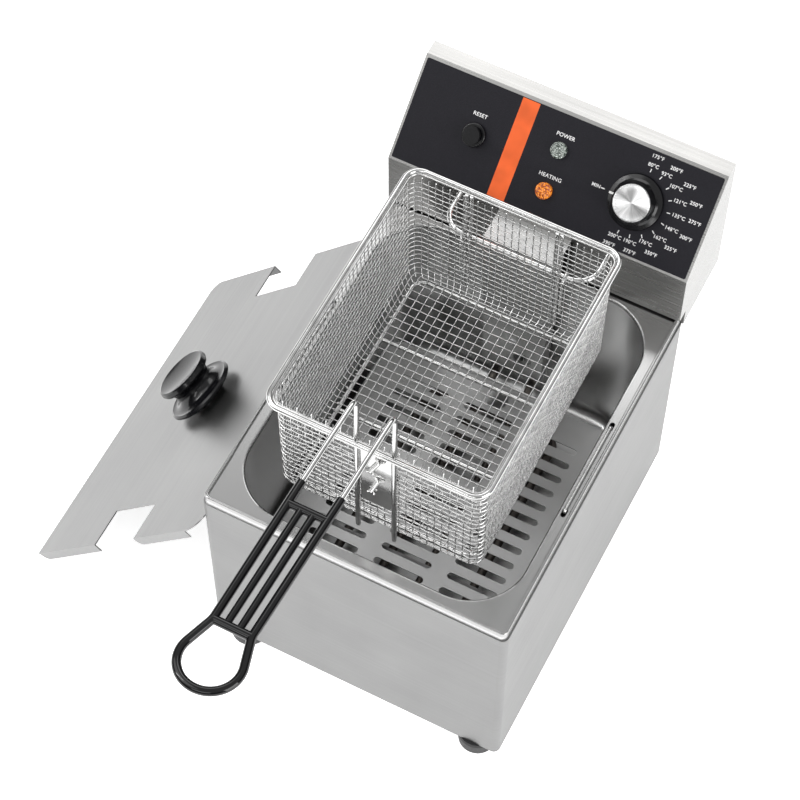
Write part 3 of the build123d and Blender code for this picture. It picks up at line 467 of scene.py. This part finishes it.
def floor_reach(offset, across, along):
    """How far a floor wire reaches, shorter where the corner is rounded."""
    over = abs(offset) - (across - BASKET_CORNER)
    if over <= 0:
        return along
    return along - BASKET_CORNER + math.sqrt(max(BASKET_CORNER**2 - over**2, 0))


def floor_wires():
    """Two woven families of wires across the basket's floor."""
    paths = []
    reach_x = half_width(floor_z) - 0.75 * BASKET_EDGE
    reach_y = basket_half_y - 0.75 * BASKET_EDGE
    for family in ("x", "y"):
        across, along = (reach_y, reach_x) if family == "x" else (reach_x, reach_y)
        number = int(across / PITCH)
        for index in range(-number, number + 1):
            offset = index * PITCH
            reach = floor_reach(offset, across, along)
            points = []
            steps = int(2 * reach / (PITCH / 2))
            for step in range(steps + 1):
                run = (step - steps / 2) * PITCH / 2
                lift = WEAVE * math.cos(math.pi * run / PITCH) * (-1) ** index
                lift = lift if family == "x" else -lift
                spot = (run, offset) if family == "x" else (offset, run)
                points.append(Vector((basket_x + spot[0], basket_y + spot[1], floor_z + lift)))
            paths.append((points, False))
    return paths


def basket_paths():
    """Every wire of the net: round the walls, down them and across the floor."""
    perimeter = 4 * (half_width(top_z) + basket_half_y) - (8 - 2 * math.pi) * BASKET_CORNER
    count = 2 * round(perimeter / (UPRIGHT_SHARE * PITCH) / 2)
    rows = int((top_z - floor_z - BASKET_EDGE) / WALL_ROW)
    return level_wires(count, rows) + upright_wires(count, rows) + floor_wires()


net_steel = metal("net_steel", (0.58, 0.58, 0.575), (0.76, 0.76, 0.755), (0.12, 0.22), cloud=90.0)
basket_net = wire_object("basket_net", basket_paths(), MESH_R, 1)
link_piece(basket_net, net_steel, "basket")
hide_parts("basket_mesh")


EDGE_INSET = 5.8 * MM
EDGE_DROP = 0.6 * MM
EDGE_CORNER = 9.5 * MM
EDGE_R = 0.8 * MM


def make_basket_edge():
    """The net's top edge, held along the inside of the rim wire."""
    low, high = (Vector(corner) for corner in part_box("basket_rim_wire"))
    half_x = (high.x - low.x) / 2 - EDGE_INSET
    half_y = (high.y - low.y) / 2 - EDGE_INSET
    mid = (low + high) / 2 - Vector((0, 0, EDGE_DROP))
    ring = []
    for index, (sx, sy) in enumerate(((1, -1), (1, 1), (-1, 1), (-1, -1))):
        for step in range(9):
            angle = math.pi / 2 * (index - 1 + step / 8)
            x = sx * (half_x - EDGE_CORNER) + EDGE_CORNER * math.cos(angle)
            y = sy * (half_y - EDGE_CORNER) + EDGE_CORNER * math.sin(angle)
            ring.append(mid + Vector((x, y, 0.0)))
    edge = wire_object("basket_net_edge", [(ring, True)], EDGE_R, 3)
    return link_piece(edge, wire_steel, "basket")


make_basket_edge()


# ---- twisted binding wires on the front plate ----
tie_low, tie_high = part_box("front_plate_ties")
plate_low, plate_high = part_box("basket_front_plate")
TIE_WIRE_R = 1.0 * MM
TIE_TWIST_R = 1.15 * MM
TIE_TURNS = 4
# top and bottom of each tie: across from the plate's middle and down from its upper edge, in mm
TIE_ENDS = [((3.5, -14), (-4.5, -34)), ((2.5, -44), (-4.0, -66))]


def twisted(start, end, radius, turns, phase):
    """Points of one strand wound round the line from start to end."""
    axis = (end - start).normalized()
    side = axis.cross(Vector((0, 1, 0))).normalized()
    out = side.cross(axis)
    points = []
    for step in range(turns * 10 + 1):
        share = step / (turns * 10)
        angle = 2 * math.pi * turns * share + phase
        centre = start.lerp(end, share)
        points.append(centre + radius * (math.cos(angle) * side + math.sin(angle) * out))
    return points


def make_ties():
    """Two slanting ties, each of two strands twisted together with their ends spread."""
    y = (tie_low[1] + tie_high[1]) / 2
    mid_x = (plate_low[0] + plate_high[0]) / 2
    high = plate_high[2]
    paths = []
    for top, bottom in TIE_ENDS:
        start = Vector((mid_x + top[0] * MM, y, high + top[1] * MM))
        end = Vector((mid_x + bottom[0] * MM, y, high + bottom[1] * MM))
        for phase in (0.0, math.pi):
            strand = twisted(start, end, TIE_TWIST_R, TIE_TURNS, phase)
            tail_x = 3.2 * MM * math.cos(phase)
            strand.append(strand[-1] + Vector((tail_x * 0.5, -0.3 * MM, -2.2 * MM)))
            strand.insert(0, strand[0] + Vector((tail_x, 1.2 * MM, 1.6 * MM)))
            paths.append((strand, False))
    ties = wire_object("front_plate_twists", paths, TIE_WIRE_R, 3)
    link_piece(ties, wire_steel, "basket")
    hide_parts("front_plate_ties")


make_ties()


# ---- thermostat knob's spun cap ----
cap_low, cap_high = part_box("knob_cap")
CAP_R = (cap_high[0] - cap_low[0]) / 2
CAP_BASE = 16.0 * MM
CAP_HEIGHT = 2.95 * MM
CAP_EDGE = 0.7 * MM


def make_cap_metal():
    """Radially spun aluminium: fine rays from the centre, over light and dark sectors that are painted
    highlights and painted shade.
    """
    paint = Paint("knob_spun", (0.80, 0.80, 0.80), rough=0.25, metallic=1.0, Anisotropic=0.8)
    axes = paint.axes()
    angle = paint.node("Math")
    angle.operation = "ARCTAN2"
    paint.link(axes["Y"], angle.inputs[0])
    paint.link(axes["X"], angle.inputs[1])
    rays = paint.node("TexNoise", Scale=34.0, Detail=4.0, Roughness=0.7)
    rays.noise_dimensions = "1D"
    paint.link(angle.outputs["Value"], rays.inputs["W"])
    # painted highlights and painted shade: broad light and dark sectors round the cap, mixed into the
    # base colour with the rays
    painted_sectors = paint.node("TexNoise", Scale=1.25, Detail=1.5, Roughness=0.4)
    painted_sectors.noise_dimensions = "1D"
    paint.link(angle.outputs["Value"], painted_sectors.inputs["W"])
    rays_and_painted_sectors = paint.node("Math")
    rays_and_painted_sectors.operation = "MULTIPLY_ADD"
    rays_and_painted_sectors.inputs[1].default_value = 0.35
    paint.link(rays.outputs["Fac"], rays_and_painted_sectors.inputs[0])
    paint.link(painted_sectors.outputs["Fac"], rays_and_painted_sectors.inputs[2])
    paint.tint(rays_and_painted_sectors.outputs["Value"], (0.30, 0.30, 0.30), (0.95, 0.95, 0.95), 0.45, 0.85)
    paint.rough(rays.outputs["Fac"], 0.20, 0.34)
    tangent = paint.node("Tangent")
    tangent.direction_type = "RADIAL"
    tangent.axis = "Z"
    paint.link(tangent.outputs["Tangent"], paint.shader.inputs["Tangent"])
    return paint.mat


def make_knob_cap():
    """A turned disc with a rounded rim and a very slightly dished face."""
    top = CAP_HEIGHT
    edge = CAP_EDGE
    profile = [(0, 0), (CAP_R, 0), (CAP_R, top - edge), (CAP_R - 0.2 * MM, top - 0.3 * edge)]
    profile += [(CAP_R - edge, top), (CAP_R - 1.5 * MM, top - 0.15 * MM), (8 * MM, top - 0.25 * MM)]
    profile += [(0, top - 0.35 * MM)]
    cap = lathe("knob_spun_cap", profile, 128)
    cap.matrix_world = face_matrix(KNOB_U, KNOB_W, CAP_BASE)
    link_piece(cap, make_cap_metal(), "knob")
    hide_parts("knob_cap")


make_knob_cap()


# ---- signal lamps with faceted lenses ----
LENS_R = 7.3 * MM
LENS_TOP_R = LENS_R * 0.84
LENS_HEIGHT = 6.0 * MM
LENS_CROWN = 1.3 * MM
FACET = 2.1 * MM
FACET_DEPTH = 0.75 * MM
LENS_SEGMENTS = 72
LENS_RINGS = 18


def lens_height(x, y):
    """Height of the lens over its base: a low dome cut into small square pyramids."""
    dome = LENS_HEIGHT - LENS_CROWN * math.hypot(x, y) ** 2 / LENS_TOP_R**2
    ridge = abs((x / FACET) % 1.0 - 0.5) + abs((y / FACET) % 1.0 - 0.5)
    return dome - FACET_DEPTH * ridge


def faceted_lens(name, material, place, node):
    """A signal lamp's lens, with a plain skirt below its faceted top."""
    bm = bmesh.new()
    rings = []
    for step in range(LENS_RINGS + 1):
        spots = circle_points(LENS_TOP_R * step / LENS_RINGS, LENS_SEGMENTS)
        rings.append([bm.verts.new((x, y, lens_height(x, y))) for x, y in spots])
    for share, height in ((0.93, 4.2), (1.0, 3.0), (1.0, 0.0), (0.0, 0.0)):
        spots = circle_points(LENS_R * share, LENS_SEGMENTS)
        rings.append([bm.verts.new((x, y, height * MM)) for x, y in spots])
    bridge(bm, rings)
    lens = mesh_object(name, bm, smooth=False)
    lens.matrix_world = face_matrix(*place, FILM)
    link_piece(lens, material, "head")
    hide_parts(node)


def make_lamp_clear():
    """Unlit clear lens with dark and light cells: painted shade and painted glints of the facets."""
    paint = Paint("lamp_clear", (0.55, 0.62, 0.55), rough=0.06, IOR=1.5, Coat_Weight=0.8)
    paint.put("Transmission Weight", 0.55)
    painted_glint_cells = paint.noise((700, 700, 700), 2.0)
    # painted shade and painted glints: dark and light cells over the facets, in the base colour
    paint.tint(painted_glint_cells, (0.06, 0.09, 0.07), (0.75, 0.82, 0.76), 0.42, 0.60)
    return paint.mat


def make_lamp_amber():
    """Amber lens with a weak glow, and lighter and darker cells that are painted glints and painted
    shade of the facets.
    """
    paint = Paint("lamp_amber", (0.80, 0.22, 0.015), rough=0.10, IOR=1.5, Coat_Weight=0.5)
    painted_glint_cells = paint.noise((620, 620, 620), 2.0)
    # painted glints and painted shade: lighter and darker amber cells over the facets, in the base
    # colour
    paint.tint(painted_glint_cells, (0.22, 0.025, 0.0), (0.95, 0.30, 0.02), 0.42, 0.60)
    paint.put("Emission Color", (1.0, 0.25, 0.02, 1.0))
    paint.put("Emission Strength", 0.10)
    return paint.mat


faceted_lens("power_lamp_dome", make_lamp_clear(), POWER_LAMP, "power_lamp_lens")
faceted_lens("heating_lamp_dome", make_lamp_amber(), HEATING_LAMP, "heating_lamp_lens")


# ---- printing on the control label ----
PRINT = FILM + 0.04 * MM
LETTER_BOLD = 0.06 * MM
LETTER_SPACING = 1.06
DIAL_LETTER = 4.4 * MM
MIN_LETTER = 4.3 * MM
WORD_LETTER = 4.7 * MM
LAMP_WORD_U = -1.0 * MM
LAMP_WORD_UP = 12.7 * MM
RESET_WORD = (RESET_U - 1.0 * MM, 63.5 * MM)

# the dial's scale: tick radius, then the ovals that the two rows of numbers stand on
TICK_R = 29.0 * MM
CELSIUS_OVAL = (38.0 * MM, 33.6 * MM)
FAHRENHEIT_OVAL = (52.5 * MM, 41.4 * MM)
DIAL_FIRST_ANGLE = 86.0
DIAL_STEP_ANGLE = -20.6
CELSIUS = (80, 93, 107, 121, 135, 148, 162, 176, 190, 200)
FAHRENHEIT = (175, 200, 225, 250, 275, 300, 325, 350, 375, 390)


def text_mesh(words, u, w, size):
    """Letters laid on the label, centred at (u, w)."""
    curve = bpy.data.curves.new("words", "FONT")
    curve.body = words
    curve.size = size
    curve.offset = LETTER_BOLD
    curve.space_character = LETTER_SPACING
    curve.align_x = "CENTER"
    curve.align_y = "CENTER"
    curve.resolution_u = 3
    source = bpy.data.objects.new("words", curve)
    mesh = bpy.data.meshes.new_from_object(source)
    mesh.transform(face_matrix(u, w, PRINT))
    bpy.data.objects.remove(source)
    return mesh


def flat_bar(u, w, length, width, angle):
    """A small printed bar, as a mesh on the label."""
    mesh = bpy.data.meshes.new("bar")
    half, thin = length / 2, width / 2
    corners = [(-half, -thin, 0), (half, -thin, 0), (half, thin, 0), (-half, thin, 0)]
    mesh.from_pydata(corners, [], [(0, 1, 2, 3)])
    mesh.transform(face_matrix(u, w, PRINT) @ Matrix.Rotation(angle, 4, "Z"))
    return mesh


def joined(name, meshes, material, body):
    """One piece out of several meshes."""
    bm = bmesh.new()
    for mesh in meshes:
        bm.from_mesh(mesh)
    whole = bpy.data.meshes.new(name)
    bm.to_mesh(whole)
    bm.free()
    return link_piece(bpy.data.objects.new(name, whole), material, body)


def dial_print():
    """Ticks and two rows of temperatures round the knob, and the mark for its lowest setting."""
    meshes = []
    for index, (celsius, fahrenheit) in enumerate(zip(CELSIUS, FAHRENHEIT)):
        angle = math.radians(DIAL_FIRST_ANGLE + DIAL_STEP_ANGLE * index)
        across, up = math.cos(angle), math.sin(angle)
        u, w = KNOB_U + TICK_R * across, KNOB_W + TICK_R * up
        meshes.append(flat_bar(u, w, 3.0 * MM, 0.8 * MM, angle))
        u, w = KNOB_U + CELSIUS_OVAL[0] * across, KNOB_W + CELSIUS_OVAL[1] * up
        meshes.append(text_mesh(f"{celsius}°C", u, w, DIAL_LETTER))
        u, w = KNOB_U + FAHRENHEIT_OVAL[0] * across, KNOB_W + FAHRENHEIT_OVAL[1] * up
        meshes.append(text_mesh(f"{fahrenheit}°F", u, w, DIAL_LETTER))
    meshes.append(flat_bar(KNOB_U - 30.4 * MM, KNOB_W, 3.4 * MM, 0.9 * MM, 0.0))
    meshes.append(text_mesh("MIN", KNOB_U - 36.6 * MM, KNOB_W + 0.2 * MM, MIN_LETTER))
    return meshes


def make_print():
    """Everything printed in white on the label."""
    meshes = dial_print()
    meshes.append(text_mesh("RESET", *RESET_WORD, WORD_LETTER))
    for word, lamp in (("POWER", POWER_LAMP), ("HEATING", HEATING_LAMP)):
        meshes.append(text_mesh(word, LAMP_WORD_U, lamp[1] + LAMP_WORD_UP, WORD_LETTER))
    joined("label_print", meshes, print_white, "head")


make_print()


STRIPE_U = -39.0 * MM
STRIPE_WIDTH = 16.0 * MM
STRIPE_LOW_W = 2.6 * MM
STRIPE_HIGH_W = 91.4 * MM


def make_stripe():
    """One plain warm stripe, straight and of even width, between the reset button and the lamps."""
    paint = plastic("label_stripe", (0.80, 0.13, 0.03), 0.42, 1500.0, 0.3, Specular_IOR_Level=0.2)
    length = STRIPE_HIGH_W - STRIPE_LOW_W
    stripe = flat_bar(STRIPE_U, STRIPE_LOW_W + length / 2, STRIPE_WIDTH, length, 0.0)
    joined("label_stripe", [stripe], paint, "head")


make_stripe()


# ---- floor, light and tone ----
FLOOR_HALF = 6.0
FLOOR_GLOW = 0.72
WORLD_STRENGTH = 0.62


def make_floor():
    """A plain pale floor that glows a little, so that its shadows stay light."""
    mesh = bpy.data.meshes.new("studio_floor")
    half = FLOOR_HALF
    corners = [(-half, -half, 0), (half, -half, 0), (half, half, 0), (-half, half, 0)]
    mesh.from_pydata(corners, [], [(0, 1, 2, 3)])
    floor = bpy.data.objects.new("studio_floor", mesh)
    paint = Paint("studio_floor", (0.93, 0.93, 0.93), rough=0.75)
    paint.tint(paint.noise((0.6, 0.6, 0.6), 2.0), (0.92, 0.92, 0.92), (0.94, 0.94, 0.94))
    paint.put("Emission Color", (1.0, 1.0, 1.0, 1.0))
    paint.put("Emission Strength", FLOOR_GLOW)
    mesh.materials.append(paint.mat)
    bpy.context.collection.objects.link(floor)


def area_light(name, place, target, size, power):
    """A white rectangular light at a place, turned towards its target."""
    data = bpy.data.lights.new(name, "AREA")
    data.shape = "RECTANGLE"
    data.size, data.size_y = size
    data.energy = power
    light = bpy.data.objects.new(name, data)
    way = Vector(target) - Vector(place)
    light.matrix_world = Matrix.Translation(place) @ way.to_track_quat("-Z", "Y").to_matrix().to_4x4()
    bpy.context.collection.objects.link(light)


def make_world():
    """Soft surroundings: grey low down, white above."""
    world = bpy.data.worlds.new("studio")
    world.use_nodes = True
    tree = world.node_tree
    back = tree.nodes["Background"]
    place = tree.nodes.new("ShaderNodeTexCoord")
    split = tree.nodes.new("ShaderNodeSeparateXYZ")
    ramp = tree.nodes.new("ShaderNodeValToRGB")
    ramp.color_ramp.elements[0].position = 0.28
    ramp.color_ramp.elements[0].color = (0.12, 0.12, 0.12, 1.0)
    ramp.color_ramp.elements[1].position = 0.62
    ramp.color_ramp.elements[1].color = (1.0, 1.0, 1.0, 1.0)
    tree.links.new(place.outputs["Generated"], split.inputs["Vector"])
    tree.links.new(split.outputs["Z"], ramp.inputs["Fac"])
    tree.links.new(ramp.outputs["Color"], back.inputs["Color"])
    back.inputs["Strength"].default_value = WORLD_STRENGTH
    bpy.context.scene.world = world


make_floor()
make_world()
area_light("key_left", (-1.4, -0.6, 2.2), (0, 0, 0.2), (2.2, 2.2), 24)
area_light("back_top", (-0.5, 1.9, 2.4), (0, 0.1, 0.2), (2.2, 1.0), 17)
area_light("right_fill", (2.0, -0.6, 0.9), (0, 0, 0.2), (1.2, 1.4), 26)
area_light("front_strip", (0.2, -2.0, 1.6), (0, 0, 0.2), (1.6, 0.3), 8)
area_light("streak", (-1.5, -0.9, 1.9), (0, -0.1, 0.3), (0.10, 1.5), 9)
bpy.context.scene.view_settings.view_transform = "Standard"
